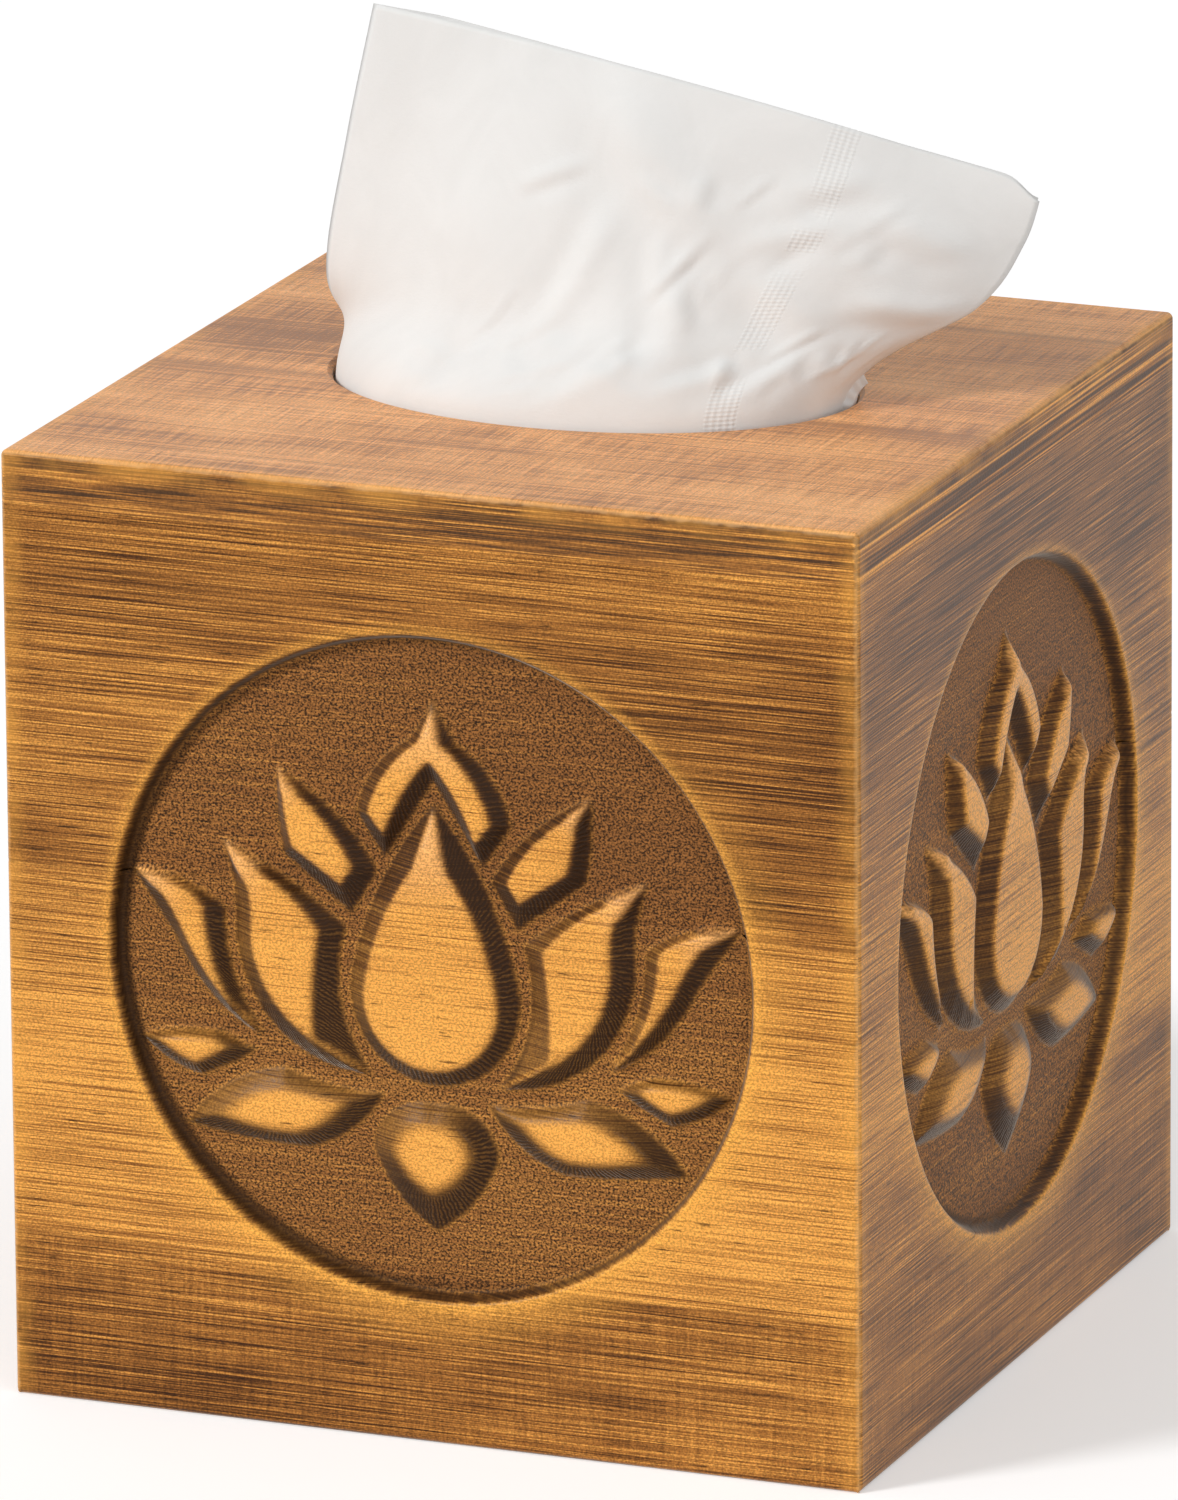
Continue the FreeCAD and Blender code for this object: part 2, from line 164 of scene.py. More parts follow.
def blendColour(tree, share, first, second, kind="MIX"):
    node = tree.nodes.new("ShaderNodeMix")
    node.data_type = "RGBA"
    node.blend_type = kind
    feed(tree, node.inputs[0], share)
    for socket, colour in ((node.inputs[6], first), (node.inputs[7], second)):
        feed(tree, socket, (*colour, 1) if isinstance(colour, tuple) else colour)
    return node.outputs[2]


def colourRamp(tree, value, stops):
    node = tree.nodes.new("ShaderNodeValToRGB")
    ramp = node.color_ramp
    for index, (place, colour) in enumerate(stops):
        stop = ramp.elements[index] if index < 2 else ramp.elements.new(place)
        stop.position = place
        stop.color = (*colour, 1)
    feed(tree, node.inputs[0], value)
    return node.outputs[0]


def attributeOf(tree, name, output):
    node = tree.nodes.new("ShaderNodeAttribute")
    node.attribute_name = name
    return node.outputs[output]


def splitVector(tree, vector):
    node = tree.nodes.new("ShaderNodeSeparateXYZ")
    feed(tree, node.inputs[0], vector)
    return node.outputs


def objectPlace(tree):
    node = tree.nodes.new("ShaderNodeTexCoord")
    return node.outputs["Object"]


def inMillimetres(tree, vector):
    node = tree.nodes.new("ShaderNodeVectorMath")
    node.operation = "SCALE"
    node.inputs["Scale"].default_value = 1 / mm
    feed(tree, node.inputs[0], vector)
    return node.outputs[0]


def raiseBump(tree, shader, height, strength, distance):
    node = tree.nodes.new("ShaderNodeBump")
    node.inputs["Strength"].default_value = strength
    node.inputs["Distance"].default_value = distance
    feed(tree, node.inputs["Height"], height)
    tree.links.new(node.outputs[0], shader.inputs["Normal"])


def newMaterial(name):
    material = bpy.data.materials.new(name)
    material.use_nodes = True
    tree = material.node_tree
    return material, tree, tree.nodes["Principled BSDF"]


def setShine(shader, finish):
    strength, roughness = finish["sheen"]
    shader.inputs["Specular IOR Level"].default_value = finish["gloss"]
    shader.inputs["Sheen Weight"].default_value = strength
    shader.inputs["Sheen Roughness"].default_value = roughness


# photograph's viewpoint, found from the corners of the box
view = {
    "place": (0.89209, -2.23264, 0.78624),
    "turn": (73.8156, 0.4138, 21.6923),  # degrees
    "focalPixels": 16678.8,
    "longSidePixels": 1500,
    "sensor": 36,
}


def makeCamera():
    lens = bpy.data.cameras.new("camera")
    lens.sensor_width = view["sensor"]
    lens.lens = view["focalPixels"] / view["longSidePixels"] * view["sensor"]
    lens.clip_end = 20
    camera = newObject("camera", lens)
    camera.location = view["place"]
    camera.rotation_euler = [math.radians(angle) for angle in view["turn"]]
    scene.camera = camera


makeCamera()


def boardSpan(name, axis=2):
    return [round(corner[axis] / mm, 3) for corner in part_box(name)]


# cover's outline and the heights of its seams, in millimetres
coverSize = {
    "half": boardSpan("top_front_board", 0)[1],
    "height": boardSpan("top_front_board")[1],
    "seams": boardSpan("front_middle_board"),
}

# stained wood, in linear colours, with sizes in millimetres
stain = {
    "dark": (0.070, 0.023, 0.005),
    "middle": (0.36, 0.138, 0.027),
    "gold": (0.90, 0.41, 0.082),
    "ground": (0.17, 0.067, 0.018),
    # dark stain of the cut slopes and wall, also used for painted shade and a painted shadow
    "stainAndShade": (0.030, 0.0105, 0.0015),
    # painted highlight on the petals' tips
    "tipHighlight": (0.90, 0.46, 0.175),
    "glow": (0.93, 0.43, 0.075),
    "worn": (0.92, 0.52, 0.21),
    "petalTone": 0.75,
    # noise cells per millimetre along and up a board; the clouds also change with the tone
    "lines": (0.012, 3.0, 0),
    "threads": (0.05, 4.6, 0),
    "clouds": (0.014, 0.03, 6.0),
    "streaks": (1.5, 0.07, 0),
    "pores": (0.2, 2.2, 0),
    "sanding": (0.13, 0.03),  # share of the streaks on the lower boards, and above them
    "weights": (0.7, 0.21, 0.17, 0.07),  # of grain, clouds, tone and petals in the shade
    "shadeStart": -0.04,
    # strength of the painted highlight on the tips
    "tipHighlightShare": 0.6,
    "seamShare": 0.3,
    "hatchPitch": 0.85,
    "glowReach": (0.5, 4.5),  # from the edges of the cover
    "glowShare": (0.03, 0.42),
    "wornReach": (0.3, 0.9),
    "wornShare": 0.38,
    "roughness": 0.36,
    "groundRoughness": 0.62,
    "gloss": 0.13,
    "sheen": (0.74, 0.3),  # strength and roughness of the wax's bloom, seen at a low angle
    "bloom": (1, 0.93, 0.83),
}


def edgeDistance(tree, place):
    x, y, z = splitVector(tree, place)
    side = minus(tree, coverSize["half"], calc(tree, "ABSOLUTE", x))
    face = minus(tree, coverSize["half"], calc(tree, "ABSOLUTE", y))
    head = minus(tree, coverSize["height"], z)
    # a point on a face has one distance near zero, so the middle one of the three is the way to an edge
    nearer = calc(tree, "MINIMUM", side, face)
    further = calc(tree, "MAXIMUM", side, face)
    return calc(tree, "MAXIMUM", nearer, calc(tree, "MINIMUM", further, head))


def wearEdges(tree, colour, place):
    way = edgeDistance(tree, place)
    patches = grainNoise(tree, place, (0.12, 0.12, 0.12), 4)
    near = remap(tree, way, *stain["glowReach"], 1, 0, True)
    glow = times(tree, near, remap(tree, patches, 0.35, 0.65, *stain["glowShare"]))
    colour = blendColour(tree, glow, colour, stain["glow"])
    ragged = remap(tree, grainNoise(tree, place, (0.5, 0.5, 0.5), 3), 0.3, 0.7, -0.2, 0.25)
    worn = remap(tree, plus(tree, way, ragged), *stain["wornReach"], stain["wornShare"], 0, True)
    return blendColour(tree, worn, colour, stain["worn"])


def speckle(tree, colour, place, low, high):
    dots = grainNoise(tree, place, (2.7, 3.0, 2.7), 1)
    shade = remap(tree, dots, 0.36, 0.64, low, high)
    return blendColour(tree, 1.0, colour, shade, "MULTIPLY"), dots


def boardGrain(tree, place, height):
    lines = grainNoise(tree, place, stain["lines"], 3, 0.6)
    threads = grainNoise(tree, place, stain["threads"], 2, 0.5)
    along = plus(tree, times(tree, lines, 0.5), times(tree, threads, 0.5))
    # lower boards are sanded across the grain
    across = grainNoise(tree, place, stain["streaks"], 4, 0.6)
    seam = coverSize["seams"][0]
    sanded = remap(tree, height, seam - 0.2, seam + 0.2, *stain["sanding"])
    return mixValues(tree, sanded, along, across)


def boardColour(tree, place, grain, plateau):
    # petals are rubbed back to one light tone
    tone = mixValues(tree, plateau, splitVector(tree, place)[2], stain["petalTone"])
    clouds = grainNoise(tree, place, stain["clouds"], 2, 0.45)
    shade = stain["shadeStart"]
    for value, weight in zip((grain, clouds, tone, plateau), stain["weights"]):
        shade = calc(tree, "MULTIPLY_ADD", value, weight, shade)
    return colourRamp(tree, shade, [(0.42, stain["dark"]), (0.6, stain["gold"]), (0.5, stain["middle"])])


def recessColour(tree, colour, place, grain, ground):
    halo = attributeOf(tree, "carve", "Alpha")
    glow = times(tree, halo, remap(tree, grain, 0.35, 0.6, 0.45, 1.0))
    colour = blendColour(tree, glow, colour, stain["glow"])
    floorShare = times(tree, ground, remap(tree, grain, 0.35, 0.68, 1.0, 0.72))
    colour = blendColour(tree, floorShare, colour, stain["ground"])
    # short dark pores along the grain
    pores = remap(tree, grainNoise(tree, place, stain["pores"], 2, 0.5, 0.1), 0.64, 0.72, 1, 0.3)
    colour = blendColour(tree, 1.0, colour, pores, "MULTIPLY")
    # painted highlight on the petals' tips
    tipHighlights = times(tree, attributeOf(tree, "tipHighlight", "Fac"), stain["tipHighlightShare"])
    return blendColour(tree, tipHighlights, colour, stain["tipHighlight"])


def dimSeams(tree, colour, height, ground):
    flat = minus(tree, 1.0, ground)
    for seam in coverSize["seams"]:
        way = calc(tree, "ABSOLUTE", minus(tree, height, seam))
        dim = times(tree, remap(tree, way, 0.05, 0.3, stain["seamShare"], 0), flat)
        colour = blendColour(tree, dim, colour, stain["dark"])
    return colour


def cutterHatch(tree, place):
    # lines that run down the slopes
    wobble = remap(tree, grainNoise(tree, place, (0.9, 0.9, 0), 2), 0.3, 0.7, -0.25, 0.25)
    along = plus(tree, attributeOf(tree, "run", "Fac"), wobble)
    wave = calc(tree, "SINE", times(tree, along, math.tau / stain["hatchPitch"]))
    return times(tree, remap(tree, wave, -0.6, 0.9), attributeOf(tree, "hatched", "Fac"))


def carvedWood():
    material, tree, shader = newMaterial("carvedWood")
    place = attributeOf(tree, "place", "Vector")
    whole = inMillimetres(tree, objectPlace(tree))
    height = splitVector(tree, whole)[2]
    separate = tree.nodes.new("ShaderNodeSeparateColor")
    feed(tree, separate.inputs[0], attributeOf(tree, "carve", "Color"))
    stainAndShadeMask, ground, plateau = separate.outputs
    grain = boardGrain(tree, place, height)
    colour = boardColour(tree, place, grain, plateau)
    colour = recessColour(tree, colour, place, grain, ground)
    # floor of the recess is left rough from the cutter
    darkest = remap(tree, ground, 0, 1, 0.7, 0.16)
    lightest = remap(tree, ground, 0, 1, 1.28, 2.0)
    colour, dots = speckle(tree, colour, place, darkest, lightest)
    colour = dimSeams(tree, colour, height, ground)
    hatch = cutterHatch(tree, place)
    # dark stain on the slopes and wall, with painted shade on them and a painted shadow in the recess's
    # corner
    stainAndShadeShare = times(tree, stainAndShadeMask, remap(tree, hatch, 0, 1, 1.0, 0.86))
    colour = blendColour(tree, stainAndShadeShare, colour, stain["stainAndShade"])
    feed(tree, shader.inputs["Base Color"], wearEdges(tree, colour, whole))
    roughness = remap(tree, ground, 0, 1, stain["roughness"], stain["groundRoughness"])
    uneven = remap(tree, dots, 0.3, 0.7, -0.06, 0.1)
    feed(tree, shader.inputs["Roughness"], plus(tree, roughness, uneven))
    setShine(shader, stain)
    shader.inputs["Sheen Tint"].default_value = (*stain["bloom"], 1)
    hatched = times(tree, times(tree, hatch, stainAndShadeMask), 1.1)
    relief = plus(tree, plus(tree, grain, hatched), times(tree, dots, 0.35))
    raiseBump(tree, shader, relief, 0.35, 0.25 * mm)
    return material


# carved side: sizes in millimetres, petals in hundredths of the medallion's radius from its centre;
# a corner is its foot, its place on the top, and the bows of the edges to the next corner
side = {
    "thickness": 8,
    "round": 1,
    "footGap": 0.1,  # between the boards and the surface that the cover stands on
    "pitch": 0.33,
    "groove": (0.05, 0.2),  # depth and half width of a seam
    "sharpFrom": 50,  # degrees
    "woodShift": (137, 71),  # each side is cut from other wood
    "tones": {"lower": 0.46, "middle": 0.76, "upper": 0.42},
    # height and tone on the side whose stain hides its seams
    "evenTones": {"right": ((0, 0.36), (25, 0.46), (55, 0.74), (85, 0.56), (115, 0.38), (138, 0.36))},
}
medallion = {
    "radius": 51,
    "middle": 73,
    "depth": 2.5,
    "wallRun": 1,
    "drop": 0.1,
    "softenings": 1,
    "rounding": (10, 0.3),  # passes and share that round the petals over
    "edgeShade": (16, 0.28),  # passes and strength of the painted shade that creeps over the petals' edges, less where they face the light
    "stripsPerEdge": 7,
    "shoulder": 0.55,
    "crestShare": 0.5,
    "haloReach": (2.5, 9),
    "haloShares": (0.5, 0.6),
    "besideGlow": 0.42,  # lighter floor beside the petals
    "litLoss": (0.1, 0.34),  # share of the slopes' dark stain taken off where they face the light, as painted light, on the wall and on the petals
    # darkness of a thin line along the foot of each slope
    "footLineDarkness": 0.88,
    "haloTurn": -65,  # degrees, where the broad halo is strongest
    "cornerShadowReach": (0.7, 1.7),  # painted shadow that the wall casts into the corner of the recess
    "tipSlim": 0.29,  # half width of the ramp that runs down to a petal's tip, as a share of its length
    "tipHighlightSpan": (-1.7, 0.3),  # where the painted highlight on a tip starts and is full, in lengths of that ramp
    "paintedLightFrom": (-0.7, 0.7),  # direction of the painted light: slopes that face this way get less painted shade
    "rounded": ("drop", "diamond", "leaf"),
}
middlePetals = {
    "crown": [
        ((0, 80.2), (0, 69.8), -0.03, -0.03),
        ((-7.1, 67.8), (-5.1, 66.5), 0.11, 0.08),
        ((-23.9, 44.5), (-18.8, 45.5), 0, 0),
        ((-15.3, 31.6), (-14.1, 39.8), 0, -0.06),
        ((0, 55.9), (0, 63.3), 0, -0.06),
        ((15.3, 31.6), (14.1, 39.8), 0, 0),
        ((23.9, 44.5), (18.8, 45.5), 0.11, 0.08),
        ((7.1, 67.8), (5.1, 66.5), -0.03, -0.03),
    ],
    "heart": [
        ((0, 49), (0, 35.7), 0.06, 0.07),
        ((-25.9, -2.9), (-19.6, -3.9), 0.24, 0.25),
        ((0, -36.1), (0, -30), 0.24, 0.25),
        ((25.9, -2.9), (19.6, -3.9), 0.06, 0.07),
    ],
    "drop": [
        ((0, -41.2), (0, -45.9), 0.22, 0.22),
        ((-19.8, -55.9), (-12.9, -55.5), 0.09, 0.12),
        ((0, -80), (0, -68.6), 0.09, 0.12),
        ((19.8, -55.9), (12.9, -55.5), 0.22, 0.22),
    ],
}
rightPetals = {
    "kite": [
        ((48.8, 55.3), (45.5, 51), 0.08, 0.08),
        ((17.8, 27.5), (24.3, 28.6), 0, 0),
        ((25.7, 13.5), (27.8, 23.5), 0, 0),
        ((46.9, 30), (42.4, 33.1), 0.03, 0.03),
    ],
    "broad": [
        ((66.3, 32), (59.6, 26.5), 0.045, 0.08),
        ((27.5, 9.2), (35.3, 8.6), -0.134, -0.03),
        ((19.4, -34.5), (37.3, -23.5), 0.233, 0.15),
        ((62, 9.8), (55.3, 9.8), -0.06, -0.08),
    ],
    "narrow": [
        ((94.7, 20.8), (86.7, 18.8), 0.085, 0.11),
        ((65.1, 11.4), (71.2, 12.2), -0.097, -0.06),
        ((52, -27.1), (63.3, -15.7), 0.1, 0.04),
        ((81.4, 1.6), (77.3, 5.1), 0, -0.04),
    ],
    "diamond": [
        ((92, -29.8), (86.9, -29.4), 0.055, 0.04),
        ((66.7, -26.3), (67.8, -27.8), 0, 0),
        ((55.9, -30.8), (63.1, -29.8), 0.03, 0.03),
        ((73.3, -40.2), (74.1, -36.1), 0.08, 0.05),
    ],
    "leaf": [
        ((78.4, -55.1), (67.6, -51), 0.106, 0.1),
        ((47.1, -34.9), (46.1, -40), -0.05, 0),
        ((15.9, -39.6), (25.5, -42.4), 0.1, 0.1),
        ((40.2, -58.8), (42.2, -54.1), 0.02, 0.05),
    ],
}


def mirroredPetal(corners):
    flipped = []
    for index in range(len(corners)):
        foot, top = corners[-index][:2]
        footBow, topBow = corners[-index - 1][2:]
        flipped.append(((-foot[0], foot[1]), (-top[0], top[1]), footBow, topBow))
    return flipped


def bowedLoop(corners, bows):
    steps = np.linspace(0, 1, medallion["stripsPerEdge"], endpoint=False)[:, None]
    loop = []
    for index, bow in enumerate(bows):
        start = corners[index]
        chord = corners[(index + 1) % len(corners)] - start
        if bow == 0:
            loop.append(start + steps * chord)
            continue
        half = 2 * math.atan(2 * bow)  # half the turn of the arc
        turn = half * (2 * steps - 1)
        outward = np.array([chord[1], -chord[0]])
        forward = 0.5 + 0.5 * np.sin(turn) / math.sin(half)
        bulge = (np.cos(turn) - math.cos(half)) / (2 * math.sin(half))
        loop.append(start + forward * chord + bulge * outward)
    return np.concatenate(loop)


def leftOf(start, end, x, y):
    way = end - start
    length = max(np.hypot(*way), 1e-6)
    return (way[0] * (y - start[1]) - way[1] * (x - start[0])) / length


def insideLoop(loop, x, y):
    inside = np.zeros(x.shape, bool)
    for start, end in zip(loop, np.roll(loop, -1, axis=0)):
        crosses = (start[1] > y) != (end[1] > y)
        rise = end[1] - start[1] if end[1] != start[1] else 1e-9
        inside ^= crosses & (x < start[0] + (y - start[1]) * (end[0] - start[0]) / rise)
    return inside


def climbSlope(lower, upper, x, y):
    # how far up the slope between two loops each point is, and how far along its foot
    climb = np.full(x.shape, -1.0)
    run = np.zeros(x.shape)
    gone = 0.0
    for index in range(len(lower)):
        following = (index + 1) % len(lower)
        a, b, c, d = lower[index], lower[following], upper[following], upper[index]
        foot, right, head, left = (leftOf(*line, x, y) for line in ((a, b), (b, c), (c, d), (d, a)))
        within = (foot >= 0) & (right >= 0) & (head >= 0) & (left >= 0)
        length = np.hypot(*(b - a))
        climb = np.where(within, foot / np.maximum(foot + head, 1e-6), climb)
        run = np.where(within, gone + length * left / np.maximum(left + right, 1e-6), run)
        gone += length
    return climb, run


def tipRamp(top, foot, x, y):
    # height of the ramp from a petal's top down to its tip, its place, and the painted highlight near
    # the tip
    way = foot - top
    length = np.hypot(*way)
    gone = ((x - top[0]) * way[0] + (y - top[1]) * way[1]) / length ** 2
    off = np.abs((x - top[0]) * way[1] - (y - top[1]) * way[0]) / length
    half = medallion["tipSlim"] * length * np.clip(1 - gone, 0, 2)
    ramped = (1 - smoothStep(off - half, -0.3, 0.1)) * smoothStep(gone, -0.9, -0.3)
    return np.clip(1 - gone, 0, 1), ramped, smoothStep(gone, *medallion["tipHighlightSpan"])


def soften(field, passes):
    for _ in range(passes):
        for axis in (0, 1):
            margins = [(1, 1) if axis == turn else (0, 0) for turn in (0, 1)]
            padded = np.pad(field, margins, mode="edge")
            size = field.shape[axis]
            before = np.take(padded, range(size), axis)
            after = np.take(padded, range(2, size + 2), axis)
            field = (before + 2 * field + after) / 4
    return field


def petalOutlines():
    named = dict(middlePetals)
    for name, corners in rightPetals.items():
        named[name] = corners
        named[name + "Left"] = mirroredPetal(corners)
    return named


def domedPetal(topLoop, tops, topBows, climb, onTop, x, y):
    # height and stain of a petal that is rounded over
    middle = tops.mean(0)
    crest = bowedLoop(middle + (tops - middle) * medallion["crestShare"], topBows)
    higher = np.clip(climbSlope(topLoop, crest, x, y)[0], 0, 1)
    higher[insideLoop(crest, x, y)] = 1
    shoulder = medallion["shoulder"]
    share = np.where(onTop, shoulder + (1 - shoulder) * higher, climb * shoulder)
    return 1 - (1 - np.clip(share, 0, 1)) ** 2, 1 - smoothStep(share, 0.45, 0.92)


def flatPetal(tops, feet, climb, onTop, x, y):
    # height and stain of a petal with a flat top and a ramp down to its tip, with a painted highlight on
    # the tip
    onSlope = climb >= 0
    height = np.where(onTop, 1, np.clip(climb, 0, 1))
    dark = 1 - smoothStep(height, 0.84, 1.0)
    ramp, ramped, light = tipRamp(tops[0], feet[0], x, y)
    height = np.maximum(height, ramp * ramped)
    dark = np.where(onSlope, dark * (1 - ramped), dark)
    return height, dark, light * np.maximum(ramped * onSlope, onTop)


def carvePetal(fields, name, corners, x, y):
    scale = medallion["radius"] / 100
    feet = np.array([corner[0] for corner in corners]) * scale
    tops = np.array([corner[1] for corner in corners]) * scale
    topBows = [corner[3] for corner in corners]
    footLoop = bowedLoop(feet, [corner[2] for corner in corners])
    topLoop = bowedLoop(tops, topBows)
    low, high = footLoop.min(0) - 1, footLoop.max(0) + 1
    near = np.nonzero((x > low[0]) & (x < high[0]) & (y > low[1]) & (y < high[1]))
    x, y = x[near], y[near]
    climb, along = climbSlope(footLoop, topLoop, x, y)
    onSlope = climb >= 0
    onTop = insideLoop(topLoop, x, y)
    covered = onSlope | onTop
    if name.removesuffix("Left") in medallion["rounded"]:
        height, dark = domedPetal(topLoop, tops, topBows, climb, onTop, x, y)
    else:
        height, dark, tipHighlight = flatPetal(tops, feet, climb, onTop, x, y)
        fields["tipHighlight"][near] = np.maximum(fields["tipHighlight"][near], tipHighlight)
    height = np.where(covered, height, 0) * (1 - medallion["drop"] / medallion["depth"])
    fields["rise"][near] = np.maximum(fields["rise"][near], height)
    laid = {
        "stainAndShade": (covered, dark),
        "plateau": (covered, 1 - dark),
        "run": (onSlope, along),
        "hatched": (onSlope, 1),
        "outline": (onSlope, 1 - smoothStep(climb, 0.08, 0.3)),
    }
    for mask, (where, value) in laid.items():
        fields[mask][near] = np.where(where, value, fields[mask][near])


def haloRound(x, y, radius):
    # light stain round the recess: a narrow ring, and a broad one that is stronger on one side
    outside = radius - medallion["radius"]
    narrow, broad = medallion["haloReach"]
    narrowShare, broadShare = medallion["haloShares"]
    turned = np.cos(np.arctan2(y, x) - math.radians(medallion["haloTurn"]))
    halo = narrowShare * (1 - smoothStep(outside, 0, narrow))
    halo += broadShare * (1 - smoothStep(outside, 0, broad)) * smoothStep(turned, -0.7, 0.9)
    return np.where(outside >= 0, np.clip(halo, 0, 1), 0)


def roundOver(rise, clearOfWall):
    rise = soften(rise, medallion["softenings"])
    passes, share = medallion["rounding"]
    return rise + (soften(rise, passes) - rise) * share * clearOfWall


def litSlopes(rise):
    # 1 on slopes that face the painted light and get less painted shade, -1 on those that face the other
    # way
    upward, across = np.gradient(rise)
    steep = np.maximum(np.hypot(upward, across), 1e-6)
    fromX, fromY = medallion["paintedLightFrom"]
    return -(across * fromX + upward * fromY) / steep


def stainAndShadeSlopes(fields, wall, lit):
    plateau = fields["plateau"]
    # slopes that face the light lose some of their dark stain: painted light and shade
    loss = np.where(wall > 0, *medallion["litLoss"])
    stainAndShade = fields["stainAndShade"] * (1 - loss * smoothStep(lit, -0.1, 0.9))
    stainAndShade = np.maximum(stainAndShade, medallion["footLineDarkness"] * fields["outline"])
    # painted shade creeps over the petals' edges, less where they face the light
    passes, share = medallion["edgeShade"]
    creepingShade = plateau * smoothStep(1 - soften(plateau, passes), 0.05, 0.5)
    creepingShade *= 1 - 0.6 * smoothStep(lit, -0.4, 0.6)
    return np.maximum(stainAndShade, share * creepingShade)


def carveFace(across, upward):
    # depth of the carving and its masks over the whole face, rows upward and columns across
    x, y = np.meshgrid(across, upward - medallion["middle"])
    radius = np.hypot(x, y)
    floorRadius = medallion["radius"] - medallion["wallRun"]
    wall = np.clip((radius - floorRadius) / medallion["wallRun"], 0, 1)
    fields = {mask: np.zeros(x.shape) for mask in ("plateau", "tipHighlight", "hatched", "outline")}
    fields["rise"] = wall.copy()
    # the recess wall is dark all round: partly the cut wood's dark stain, partly painted shade
    fields["stainAndShade"] = (wall > 0) * (1 - smoothStep(wall, 0.85, 1.0))
    fields["run"] = np.arctan2(y, x) * medallion["radius"]
    for name, corners in petalOutlines().items():
        carvePetal(fields, name, corners, x, y)
    plateau = fields["plateau"]
    ground = (radius < floorRadius) & (fields["stainAndShade"] == 0) & (plateau == 0)
    rise = roundOver(fields["rise"], 1 - smoothStep(radius, floorRadius - 3, floorRadius - 1))
    lit = litSlopes(rise)
    stainAndShade = stainAndShadeSlopes(fields, wall, lit)
    # painted shadow of the wall in the corner of the recess, most of it on the left
    leftward = smoothStep(-(x + 0.5 * y) / np.maximum(radius, 1), 0.1, 1.0)
    corner = ground * (1 - smoothStep(floorRadius - radius, *medallion["cornerShadowReach"]))
    corner *= 0.1 + 0.8 * leftward
    beside = soften((stainAndShade + plateau > 0.1).astype(float), 7) * ground
    glow = medallion["besideGlow"] * smoothStep(beside, 0.02, 0.35)
    return {
        "depth": (1 - rise) * medallion["depth"],
        # dark stain of the slopes, with painted shade and the corner's painted shadow
        "stainAndShadeMask": soften(np.maximum(stainAndShade, corner), 1),
        "ground": soften(ground.astype(float), 1),
        "plateau": soften(plateau, 1),
        "halo": np.maximum(haloRound(x, y, radius), glow),
        "run": fields["run"],
        "tipHighlight": soften(fields["tipHighlight"], 1),
        "hatched": fields["hatched"] * smoothStep(-lit, -0.5, 0.6),
    }


def roundedEdge(way):
    # drop of the rounded edge, by the distance from the side's end
    inset = np.clip(side["round"] - way, 0, side["round"])
    return side["round"] - np.sqrt(side["round"] ** 2 - inset ** 2)


def carvedBoard(name, across, upward, carve):
    columns, rows = len(across) - 1, len(upward) - 1
    shape = bmesh.new()
    bmesh.ops.create_grid(shape, x_segments=columns, y_segments=rows, size=1)
    frontCount = len(shape.verts)
    rim = [edge for edge in shape.edges if edge.is_boundary]
    drawn = bmesh.ops.extrude_edge_only(shape, edges=rim)["geom"]
    backEdges = [edge for edge in newEdges(drawn) if edge.is_boundary]
    bmesh.ops.contextual_create(shape, geom=backEdges)
    mesh = toMesh(name, shape)
    column, row = gridPlace(mesh, columns, rows)
    front = np.arange(len(column)) < frontCount
    x, z = across[column], upward[row]
    half = coverSize["half"]
    depth = carve["depth"][row, column] + roundedEdge(half - np.abs(x))
    if name == "lower":
        depth = np.maximum(depth, roundedEdge(z))
    grooveDepth, grooveHalf = side["groove"]
    for seam in coverSize["seams"]:
        depth += grooveDepth * np.exp(-((z - seam) / grooveHalf) ** 2)
    inner = (half - side["thickness"]) / across[-1]
    x = np.where(front, x, x * inner)
    depth = np.where(front, depth, side["thickness"])
    setCoordinates(mesh, np.column_stack([x, depth - half, z]))
    outwardNormals(mesh)
    painted = ("stainAndShadeMask", "ground", "plateau", "halo")
    masks = [np.where(front, carve[mask][row, column], 0) for mask in painted]
    addAttribute(mesh, "carve", "FLOAT_COLOR", np.column_stack(masks))
    addAttribute(mesh, "run", "FLOAT", carve["run"][row, column])
    for mask in ("tipHighlight", "hatched"):
        addAttribute(mesh, mask, "FLOAT", np.where(front, carve[mask][row, column], 0))
    mesh.shade_smooth()
    return mesh, np.column_stack([x, z])


def boardRows():
    # heights of the rows up a whole side, and the first and last row of each board
    heights, spans = [], {}
    for layer in side["tones"]:
        foot, head = boardSpan(f"front_{layer}_board")
        foot = max(foot, side["footGap"])
        rows = np.linspace(foot, head, int((head - foot) / side["pitch"]) + 1)
        start = len(heights) - 1 if heights else 0
        heights += list(rows[1:] if heights else rows)
        spans[layer] = (start, len(heights))
    return np.array(heights), spans


